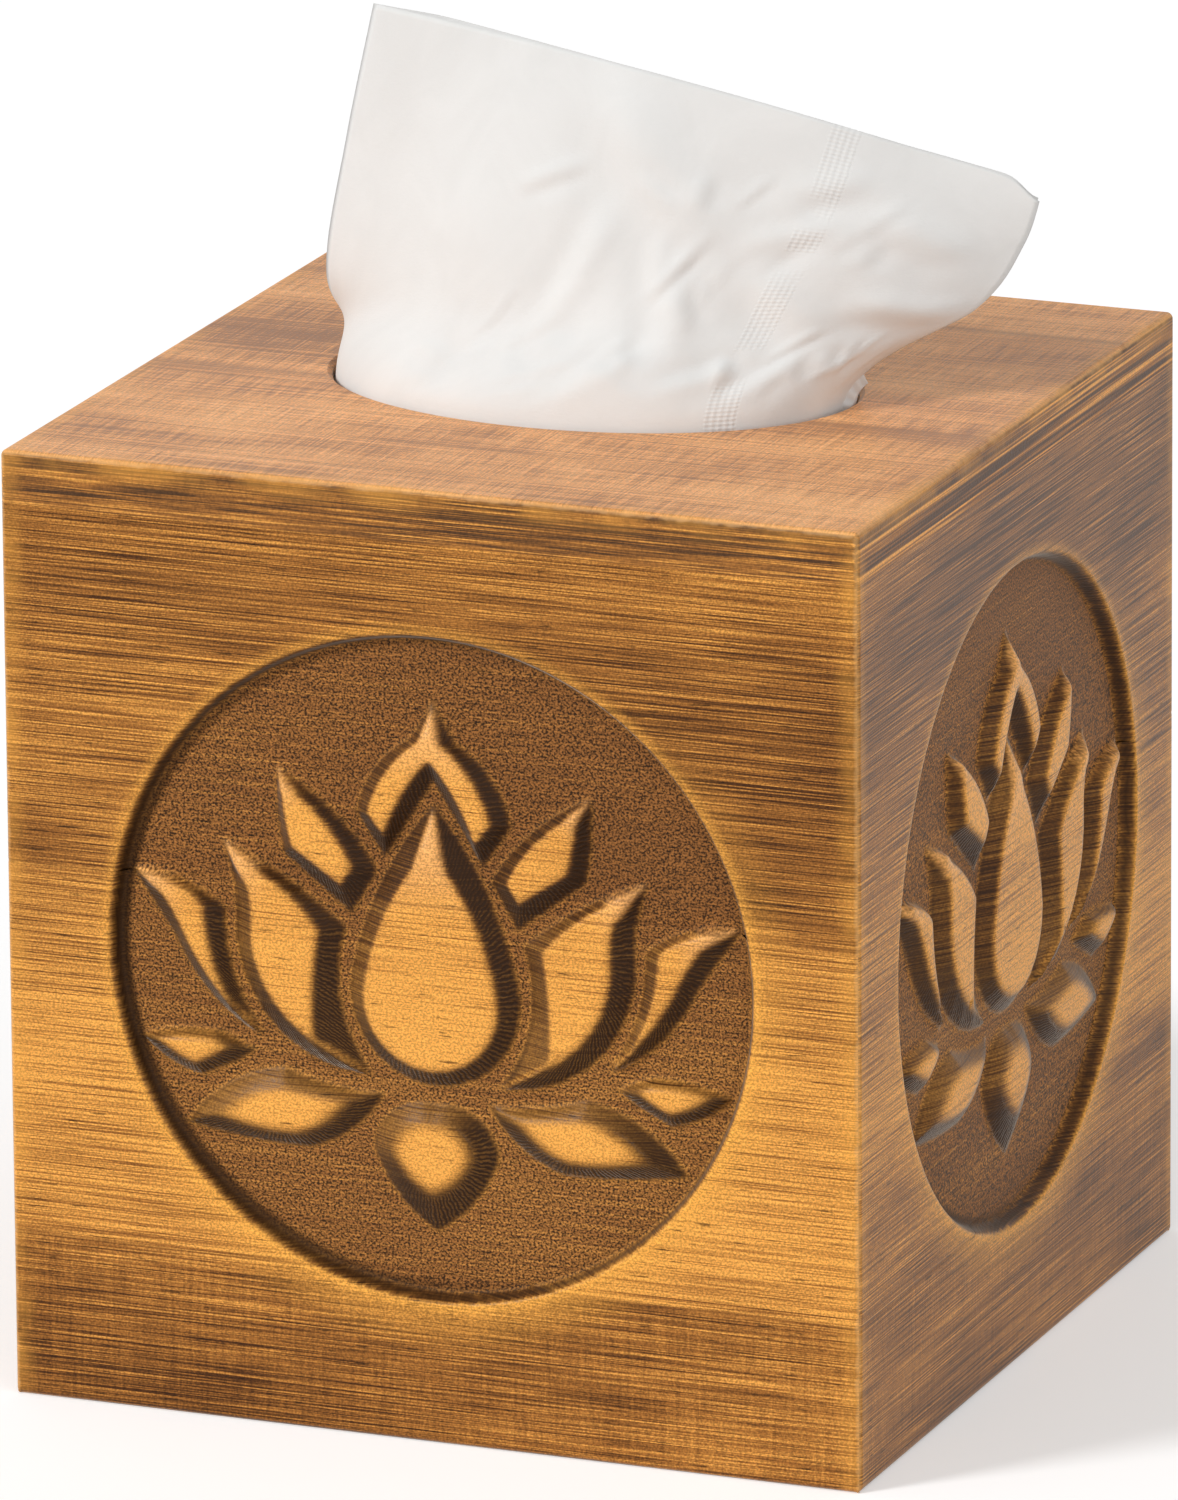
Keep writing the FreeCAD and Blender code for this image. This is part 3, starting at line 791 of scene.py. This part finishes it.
def makeSides(material):
    reach = coverSize["half"] - side["round"] * (1 - math.sqrt(0.5))
    across = np.linspace(-reach, reach, int(2 * reach / side["pitch"]) + 1)
    heights, spans = boardRows()
    carve = carveFace(across, heights)
    print("medallion carved on a grid of", carve["depth"].shape)
    for layer, (start, end) in spans.items():
        part = {mask: field[start:end] for mask, field in carve.items()}
        mesh, flat = carvedBoard(layer, across, heights[start:end], part)
        mesh.set_sharp_from_angle(angle=math.radians(side["sharpFrom"]))
        for turn, face in enumerate(("front", "right", "back", "left")):
            board = mesh.copy()
            node = f"{face}_{layer}_board"
            shift = np.array(side["woodShift"]) * turn
            tone = np.full(len(flat), side["tones"][layer])
            if face in side["evenTones"]:
                tone = np.interp(flat[:, 1], *zip(*side["evenTones"][face]))
            addAttribute(board, "place", "FLOAT_VECTOR", np.column_stack([flat + shift, tone]))
            board.transform(Matrix.Rotation(math.radians(90 * turn), 4, "Z"))
            board.materials.append(material)
            piece = newObject(f"{face}{layer.capitalize()}Carved", board)
            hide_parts(node)
            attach(piece, "cover")
    print("side boards made")


makeSides(carvedWood())


# top boards, with grain along x and sanding marks across it
topFinish = {
    "dark": (0.33, 0.132, 0.040),
    "middle": (0.70, 0.300, 0.092),
    "light": (0.94, 0.47, 0.170),
    "strip": (0.075, 0.032, 0.011),  # along the edges
    # noise cells per millimetre along x, y and z
    "lines": (0.015, 2.2, 2.2),
    "threads": (0.06, 4.4, 4.4),
    "sanding": (3.2, 0.07, 0.5),
    "clouds": (0.02, 0.045, 0.06),
    "endLines": (0.9, 0.012, 2.0),
    "weights": (0.3, 0.34, 0.36),  # of lines, sanding and clouds in the shade
    "seams": boardSpan("top_middle_board", 1),
    "seamReach": (0.1, 2.4),
    "seamShare": 0.55,
    "gloss": 0.2,
    "sheen": (0.35, 0.3),
}


def topFace(tree, place, lines, sanding):
    clouds = grainNoise(tree, place, topFinish["clouds"], 3)
    shade = 0.0
    for value, weight in zip((lines, sanding, clouds), topFinish["weights"]):
        shade = calc(tree, "MULTIPLY_ADD", value, weight, shade)
    stops = [(0.43, topFinish["dark"]), (0.58, topFinish["light"]), (0.5, topFinish["middle"])]
    return colourRamp(tree, shade, stops)


def topEdge(tree, place, lines, sideways):
    # grain along the front and back edges, and end grain on the other two
    threads = grainNoise(tree, place, topFinish["threads"], 2)
    along = plus(tree, times(tree, lines, 0.5), times(tree, threads, 0.5))
    endLines = grainNoise(tree, place, topFinish["endLines"], 3, 0.6)
    rough = mixValues(tree, sideways, along, endLines)
    stops = [(0.43, topFinish["strip"]), (0.64, stain["gold"]), (0.54, stain["middle"])]
    return colourRamp(tree, rough, stops)


def topWood():
    material, tree, shader = newMaterial("topWood")
    place = inMillimetres(tree, objectPlace(tree))
    facing = tree.nodes.new("ShaderNodeTexCoord").outputs["Normal"]
    across, _, above = splitVector(tree, facing)
    upward = remap(tree, above, 0.5, 0.8)
    sideways = remap(tree, calc(tree, "ABSOLUTE", across), 0.5, 0.8)
    lines = grainNoise(tree, place, topFinish["lines"], 3, 0.6, 0.1)
    sanding = grainNoise(tree, place, topFinish["sanding"], 4, 0.65)
    edge = topEdge(tree, place, lines, sideways)
    colour = blendColour(tree, upward, edge, topFace(tree, place, lines, sanding))
    y = splitVector(tree, place)[1]
    for seam in topFinish["seams"]:
        way = calc(tree, "ABSOLUTE", minus(tree, y, seam))
        band = remap(tree, way, *topFinish["seamReach"], topFinish["seamShare"], 0, True)
        colour = blendColour(tree, times(tree, band, upward), colour, topFinish["dark"])
    colour, dots = speckle(tree, colour, place, 0.8, 1.2)
    feed(tree, shader.inputs["Base Color"], wearEdges(tree, colour, place))
    feed(tree, shader.inputs["Roughness"], remap(tree, dots, 0.3, 0.7, 0.38, 0.55))
    setShine(shader, topFinish)
    relief = plus(tree, plus(tree, sanding, lines), times(tree, dots, 0.3))
    raiseBump(tree, shader, relief, 0.3, 0.2 * mm)
    return material


def splineWood():
    material, tree, shader = newMaterial("splineWood")
    place = inMillimetres(tree, objectPlace(tree))
    lines = grainNoise(tree, place, (1.4, 1.4, 0.05), 5, 0.6, 0.3)
    dots = grainNoise(tree, place, (4, 4, 4), 2, 0.7)
    colour = colourRamp(tree, lines, [(0.36, (0.26, 0.13, 0.055)), (0.64, (0.56, 0.36, 0.19))])
    tree.links.new(colour, shader.inputs["Base Color"])
    tree.links.new(remap(tree, dots, 0.3, 0.7, 0.55, 0.75), shader.inputs["Roughness"])
    raiseBump(tree, shader, plus(tree, lines, dots), 0.25, 0.2 * mm)
    return material


def cartonCard():
    material, tree, shader = newMaterial("cartonCard")
    place = inMillimetres(tree, objectPlace(tree))
    fibres = grainNoise(tree, place, (0.9, 0.9, 0.5), 5, 0.65, 0.4)
    clouds = grainNoise(tree, place, (0.05, 0.05, 0.05), 3)
    shade = plus(tree, times(tree, fibres, 0.5), times(tree, clouds, 0.5))
    colour = colourRamp(tree, shade, [(0.35, (0.50, 0.46, 0.40)), (0.65, (0.66, 0.63, 0.57))])
    tree.links.new(colour, shader.inputs["Base Color"])
    tree.links.new(remap(tree, fibres, 0.3, 0.7, 0.6, 0.8), shader.inputs["Roughness"])
    raiseBump(tree, shader, fibres, 0.2, 0.1 * mm)
    return material


def dressNodes(names, material):
    for name in names:
        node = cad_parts[name]
        node.data.materials.clear()
        node.data.materials.append(material)


corners = ("front_left", "front_right", "back_right", "back_left")
dressNodes([f"top_{strip}_board" for strip in ("front", "middle", "rear")], topWood())
dressNodes([f"{corner}_spline" for corner in corners], splineWood())
dressNodes(["refill_carton"], cartonCard())
print("top, splines and carton dressed")


# paper of the tissues, with a crimped strip that holds its plies together; sizes in millimetres
sheetPaper = {
    # painted shade in the creases' hollows and painted highlight on their ridges
    "creaseHollowShade": (0.775, 0.772, 0.757),
    "creaseRidgeLight": (0.82, 0.817, 0.803),
    "crimpAt": 75,  # from the fold
    "crimpHalf": 2.3,
    "crimpPitch": 1.3,
    "gloss": 0.15,
    "sheen": (0.12, 0.5),
}


def crimpedStrip(tree, place, foldAt):
    across, along, _ = splitVector(tree, place)
    way = calc(tree, "ABSOLUTE", minus(tree, across, foldAt))
    off = calc(tree, "ABSOLUTE", minus(tree, way, sheetPaper["crimpAt"]))
    strip = remap(tree, off, sheetPaper["crimpHalf"] - 0.3, sheetPaper["crimpHalf"], 1, 0)
    patches = remap(tree, grainNoise(tree, place, (0.05, 0.09, 0), 1), 0.4, 0.5)
    # slanted lines that cross
    turns = math.tau / sheetPaper["crimpPitch"] / math.sqrt(2)
    rising = calc(tree, "SINE", times(tree, plus(tree, across, along), turns))
    falling = calc(tree, "SINE", times(tree, minus(tree, across, along), turns))
    return times(tree, times(tree, rising, falling), times(tree, strip, patches))


def paper(name, fleck, foldAt=None):
    material, tree, shader = newMaterial(name)
    place = attributeOf(tree, "sheetPlace", "Vector")
    fibres = grainNoise(tree, place, (1.6, 1.6, 1.6), 4, 0.65, 0.6)
    creases = grainNoise(tree, place, (0.09, 0.05, 0.09), 5, 0.6, 0.8)
    # paper painted darker in the hollows of the crease relief and lighter on its ridges: painted shade
    # and highlight
    colour = colourRamp(tree, creases, [(0.3, sheetPaper["creaseHollowShade"]), (0.7, sheetPaper["creaseRidgeLight"])])
    relief = plus(tree, times(tree, fibres, fleck), creases)
    if foldAt is not None:
        crimp = crimpedStrip(tree, place, foldAt)
        colour = blendColour(tree, 1.0, colour, remap(tree, crimp, -1, 1, 0.95, 1.05), "MULTIPLY")
        relief = plus(tree, relief, crimp)
    tree.links.new(colour, shader.inputs["Base Color"])
    tree.links.new(remap(tree, fibres, 0.3, 0.7, 0.82, 0.95), shader.inputs["Roughness"])
    setShine(shader, sheetPaper)
    raiseBump(tree, shader, relief, 0.2, 0.4 * mm)
    return material


# drawn-up tissue, folded in half at its left edge; sizes in millimetres
tissue = {
    "flat": (206, 195),
    "acrossSteps": 240,
    "alongSteps": 200,
    "mouth": (40.4, 27.9),
    "turns": (174, 366),  # degrees round the mouth
    "thickness": 0.14,
    "gap": 1.6,
    "waves": 6,
    "waveDepth": 0.2,
    "crumples": 44,
    "seed": 5,
    "rimRing": 8,
    "freeSize": (103, 48),  # above the rim, for laying out the creases
    "gathers": (2.3, 10.5),  # depth, and waves across each layer of the tail
    "cornerCut": (0.935, 0.026),  # where the rounded corner starts, and how far down it goes
    "freeFrom": (147.5, 155),  # heights between which the creases set in
    "bunchedBelow": (136, 139),  # heights between which the gathers fade out
    "foldReach": 0.12,  # share of a layer that the fold keeps smooth
}
# rings from the tail's end to the rim: share of the mouth across, share deep, move to the back; height
tissueMouthRings = [
    ((0.72, 0.34, 22), 123),
    ((0.74, 0.34, 7), 122),
    ((0.74, 0.34, 6), 119.5),
    ((0.76, 0.34, 22), 118),
    ((0.76, 0.34, 23), 115.2),
    ((0.78, 0.40, 4), 114.6),
    ((0.86, 0.62, -1), 120),
    ((0.99, 0.99, 0), 137),
    ((0.99, 0.99, 0), 147.2),
]
# then bowed rings: left end, right end, bow to the front, height at the middle, fall along x and y
tissueBowedRings = [
    ((-40.7, -6.0), (57.5, 8.0), 18, 160, (0, -0.05)),
    ((-37.4, -5.5), (64.0, 11.5), 12, 177.4, (-0.075, -0.25)),
    ((-33.0, -5.0), (66.4, 13.0), 7, 194.7, (-0.149, -0.5)),
]
# creases above the rim: start and end (share across, share from the rim to the crest), half width, depth
tissueCreases = [
    ((0.41, 0.90), (0.59, 0.60), 4.0, 1.0),
    ((0.45, 0.62), (0.42, 0.32), 2.6, 0.7),
    ((0.55, 0.54), (0.63, 0.24), 2.4, 0.8),
    ((0.58, 0.20), (0.52, 0.00), 2.2, 0.7),
    ((0.36, 0.22), (0.41, 0.06), 2.0, 0.5),
    ((0.72, 0.16), (0.64, 0.08), 1.8, 0.5),
    ((0.80, 0.18), (0.73, 0.01), 2.0, 0.6),
    ((0.68, 0.74), (0.77, 0.84), 2.4, 0.5),
    ((0.66, 0.58), (0.75, 0.66), 2.0, 0.5),
    ((0.70, 0.48), (0.80, 0.30), 2.6, 0.7),
    ((0.82, 0.72), (0.93, 0.62), 3.0, 0.5),
    ((0.84, 0.40), (0.97, 0.34), 2.6, 0.8),
    ((0.22, 0.60), (0.34, 0.34), 5.0, 0.45),
]


def tissueRings(share):
    first, last = (math.radians(turn) for turn in tissue["turns"])
    turn = first + (last - first) * share
    reach, deep = tissue["mouth"]
    rings = []
    for (wide, thick, back), height in tissueMouthRings:
        x, y = reach * wide * np.cos(turn), deep * thick * np.sin(turn) + back
        rings.append(np.stack([x, y, np.full(share.shape, float(height))], -1))
    for left, right, bow, height, fall in tissueBowedRings:
        x = left[0] + (right[0] - left[0]) * share
        y = left[1] + (right[1] - left[1]) * share - bow * np.sin(math.pi * share)
        rings.append(np.stack([x, y, height + fall[0] * x + fall[1] * y], -1))
    return np.array(rings)


def ringKnots(rings):
    steps = np.linalg.norm(np.diff(rings, axis=0), axis=2).mean(1)
    knots = np.concatenate([[0], np.cumsum(steps)])
    return knots / knots[-1]


def throughRings(rings, knots, along):
    # smooth way through the rings, at shares of its length for each column
    slopes = np.gradient(rings, knots, axis=0)
    span = np.clip(np.searchsorted(knots, along, "right") - 1, 0, len(knots) - 2)
    column = np.arange(rings.shape[1])[None, :]
    width = (knots[span + 1] - knots[span])[..., None]
    step = (along - knots[span])[..., None] / width
    square, cube = step ** 2, step ** 3
    start = (2 * cube - 3 * square + 1) * rings[span, column]
    start += (cube - 2 * square + step) * width * slopes[span, column]
    end = (3 * square - 2 * cube) * rings[span + 1, column]
    end += (cube - square) * width * slopes[span + 1, column]
    return start + end


def waveField(across, rise, random):
    # broad soft waves that run up the tissue
    field = np.zeros(np.broadcast(across, rise).shape)
    for _ in range(tissue["waves"]):
        pitch = random.uniform(1, 3.5)
        lean = random.uniform(-1, 1)
        phase = random.uniform(0, math.tau)
        field += tissue["waveDepth"] * np.sin(math.tau * (across * pitch + lean * rise) + phase)
    return field


def randomCreases(random):
    # short crumples, most of them close to the rim
    creases = []
    for _ in range(tissue["crumples"]):
        start = np.array([random.uniform(0.3, 0.97), random.uniform(0.02, 0.85) ** 1.8])
        turn = random.uniform(0.3, 2.8)
        reach = random.uniform(0.06, 0.16)
        end = start + reach * np.array([0.6 * math.cos(turn), math.sin(turn)])
        creases.append((start, end, random.uniform(0.8, 1.6), random.uniform(0.15, 0.4)))
    return creases


def creaseField(across, rise, creases):
    # each crease is a soft ridge with a hollow beside it, fading out at its ends
    wide, high = tissue["freeSize"]
    field = np.zeros(np.broadcast(across, rise).shape)
    for start, end, half, depth in creases:
        wayX, wayY = (end[0] - start[0]) * wide, (end[1] - start[1]) * high
        length = math.hypot(wayX, wayY)
        offX, offY = (across - start[0]) * wide, (rise - start[1]) * high
        gone = (offX * wayX + offY * wayY) / length ** 2
        off = (offX * wayY - offY * wayX) / length / half
        ends = smoothStep(gone, -0.3, 0.3) * (1 - smoothStep(gone, 0.7, 1.3))
        field += depth * ends * (np.exp(-off ** 2) - 0.7 * np.exp(-(off - 1.6) ** 2))
    return field


def surfaceNormals(surface, rear):
    # both layers' normals point the same way, although the rear one runs from right to left
    acrossWay = np.gradient(surface, axis=1) * np.where(rear > 0, -1, 1)[None, :, None]
    normal = np.cross(acrossWay, np.gradient(surface, axis=0))
    return normal / np.maximum(np.linalg.norm(normal, axis=2, keepdims=True), 1e-9)


def gatherWaves(share):
    # gathers of uneven width and depth
    depth, waves = tissue["gathers"]
    turns = waves * share
    turns += 0.3 * np.sin(math.tau * 2.6 * share)
    turns += 0.22 * np.sin(math.tau * 4.3 * share + 1)
    return depth * np.sin(math.tau * turns) * (0.75 + 0.25 * np.sin(math.tau * 1.7 * share + 2))


def tissueSurface(across, along, share, knots, rings):
    rear = (across < 0.5).astype(float)
    surface = throughRings(rings, knots, along)
    normal = surfaceNormals(surface, rear)
    random = np.random.default_rng(tissue["seed"])
    rim = knots[tissue["rimRing"]]
    rise = (along - rim) / (1 - rim)
    field = waveField(share[None, :], rise, random) + creaseField(share[None, :], rise, tissueCreases)
    field += creaseField(share[None, :], rise, randomCreases(random))
    height = surface[..., 2]
    free = smoothStep(height, *tissue["freeFrom"])
    bunched = 1 - smoothStep(height, *tissue["bunchedBelow"])
    fold = smoothStep(share, 0.0, tissue["foldReach"])[None, :]
    field = field * free * fold + bunched * fold * gatherWaves(share)[None, :]
    # layers stand apart along the direction that the tissue faces away from
    apart = rear[None, :] * fold * tissue["gap"] * (0.7 + 0.9 * free)
    away = np.where(normal[..., 1:2] > 0, -1, 1)
    return surface + normal * field[..., None] - normal * apart[..., None] * away


def makeTissue(material):
    columns, rows = tissue["acrossSteps"], tissue["alongSteps"]
    across = np.linspace(0, 1, columns + 1)
    # the rear layer runs from the right to the fold, and the front layer back to the right
    share = np.abs(across * 2 - 1)
    cornerAt, cornerDeep = tissue["cornerCut"]
    cornered = 1 - cornerDeep * smoothStep(share, cornerAt, 1.0) ** 2
    along = np.linspace(0, 1, rows + 1)[:, None] * cornered[None, :]
    rings = tissueRings(share)
    surface = tissueSurface(across, along, share, ringKnots(rings), rings)
    shape = bmesh.new()
    bmesh.ops.create_grid(shape, x_segments=columns, y_segments=rows, size=1)
    mesh = toMesh("drawnTissue", shape)
    column, row = gridPlace(mesh, columns, rows)
    setCoordinates(mesh, surface[row, column])
    width, length = tissue["flat"]
    flat = np.column_stack([across[column] * width, along[row, column] * length, np.zeros(len(row))])
    addAttribute(mesh, "sheetPlace", "FLOAT_VECTOR", flat)
    mesh.shade_smooth()
    mesh.materials.append(material)
    piece = newObject("drawnTissue", mesh)
    wall = piece.modifiers.new("paperThickness", "SOLIDIFY")
    wall.thickness = tissue["thickness"] * mm
    wall.offset = 0
    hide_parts("drawn_tissue")
    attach(piece, "tissue")
    return piece


# folded tissues in the carton: sizes in millimetres
stack = {
    "layer": 2.0,
    "inset": 0.7,
    "sideSteps": 30,
    "ringsPerLayer": 6,
    "unevenness": 0.25,
    "capRings": 12,
    "dip": (0.8, 0.6),  # mean depth of the hollow in the top, and how much it changes
}


def stackBlock(halfX, halfY, height, rings):
    block = bmesh.new()
    bmesh.ops.create_grid(block, x_segments=1, y_segments=1, size=1)
    bmesh.ops.scale(block, vec=(halfX, halfY, 1), verts=block.verts)
    bmesh.ops.delete(block, geom=block.faces[:], context="FACES_ONLY")
    bmesh.ops.subdivide_edges(block, edges=block.edges[:], cuts=stack["sideSteps"])
    rise = height / rings
    ring = block.edges[:]
    for _ in range(rings):
        drawn = bmesh.ops.extrude_edge_only(block, edges=ring)["geom"]
        ring = newEdges(drawn)
        bmesh.ops.translate(block, vec=(0, 0, rise), verts=newVerts(drawn))
    for level in (0, height):
        rim = [edge for edge in block.edges if edge.is_boundary]
        rim = [edge for edge in rim if abs(edge.verts[0].co.z - level) < rise / 2]
        # rings that shrink to the middle of the cap
        for left in range(stack["capRings"], 0, -1):
            drawn = bmesh.ops.extrude_edge_only(block, edges=rim)["geom"]
            rim = newEdges(drawn)
            shrink = (left - 1) / left
            bmesh.ops.scale(block, vec=(shrink, shrink, 1), verts=newVerts(drawn))
    bmesh.ops.remove_doubles(block, verts=block.verts, dist=0.01)
    bmesh.ops.recalc_face_normals(block, faces=block.faces)
    return toMesh("tissueStack", block)


def makeStack(material):
    low, high = (np.array(corner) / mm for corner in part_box("tissue_stack"))
    halfX, halfY = (high[:2] - low[:2]) / 2
    tall = high[2] - low[2]
    rings = int(tall / stack["layer"]) * stack["ringsPerLayer"]
    mesh = stackBlock(halfX, halfY, tall, rings)
    place = coordinates(mesh)
    x, y, z = place.T
    # rounded noses of the folded sheets
    phase = np.mod(z / stack["layer"], 1)
    nose = 1 - np.sqrt(np.clip(1 - (2 * phase - 1) ** 2, 0, 1))
    wave = np.sin(z * 1.7 + x * 0.07) * np.sin(z * 0.6 + y * 0.05)
    inset = stack["inset"] * nose + stack["unevenness"] * (1 + wave)
    edge = np.maximum(np.abs(x) / halfX, np.abs(y) / halfY)
    pull = np.where(edge > 0.98, inset, 0)
    spot = place[:, :2] * (1 - pull / halfX)[:, None]
    # soft hollow in the top
    mean, change = stack["dip"]
    onTop = z > tall - tall / rings / 2
    dip = np.where(onTop, mean + change * np.sin(x * 0.11) * np.cos(y * 0.09), 0)
    middle = (high + low) / 2
    setCoordinates(mesh, np.column_stack([spot + middle[:2], z + low[2] - dip]))
    addAttribute(mesh, "sheetPlace", "FLOAT_VECTOR", place)
    mesh.shade_smooth()
    mesh.materials.append(material)
    piece = newObject("tissueStack", mesh)
    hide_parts("tissue_stack")
    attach(piece, "refill")
    return piece


stackPiece = makeStack(paper("stackPaper", 0.5))
tissuePiece = makeTissue(paper("tissuePaper", 0.6, tissue["flat"][0] / 2))
print("tissue and stack made")

# studio: pale floor and soft light
studio = {
    "floorReach": 4,
    "floorColour": (0.82, 0.82, 0.82),
    "floorGlow": 0.36,
    "skyLight": 0.42,
    "lamps": {  # strength, turn and spread in degrees
        "sun": (1.95, (59, 0, -42), 14),
        "fill": (0.7, (68, 0, 62), 60),
    },
}


def seenDirectly(tree):
    rays = tree.nodes.new("ShaderNodeLightPath")
    seen = calc(tree, "MAXIMUM", rays.outputs["Is Camera Ray"], rays.outputs["Is Glossy Ray"])
    return calc(tree, "MAXIMUM", seen, rays.outputs["Is Transmission Ray"])


def makeStudio():
    shape = bmesh.new()
    bmesh.ops.create_grid(shape, x_segments=1, y_segments=1, size=studio["floorReach"])
    mesh = toMesh("floor", shape)
    material, tree, shader = newMaterial("paleFloor")
    shader.inputs["Base Color"].default_value = (*studio["floorColour"], 1)
    shader.inputs["Roughness"].default_value = 0.9
    shader.inputs["Specular IOR Level"].default_value = 0.1
    shader.inputs["Emission Color"].default_value = (1, 1, 1, 1)
    glow = times(tree, seenDirectly(tree), studio["floorGlow"])
    feed(tree, shader.inputs["Emission Strength"], glow)
    mesh.materials.append(material)
    newObject("floor", mesh)
    for name, (strength, turns, spread) in studio["lamps"].items():
        lamp = bpy.data.lights.new(name, "SUN")
        lamp.energy = strength
        lamp.angle = math.radians(spread)
        newObject(name, lamp).rotation_euler = [math.radians(turn) for turn in turns]
    world = bpy.data.worlds.new("world")
    scene.world = world
    world.use_nodes = True
    tree = world.node_tree
    background = tree.nodes["Background"]
    background.inputs["Color"].default_value = (1, 1, 1, 1)
    strength = remap(tree, seenDirectly(tree), 0, 1, studio["skyLight"], 1)
    feed(tree, background.inputs["Strength"], strength)
    scene.view_settings.view_transform = "Standard"


makeStudio()
print("studio lit")
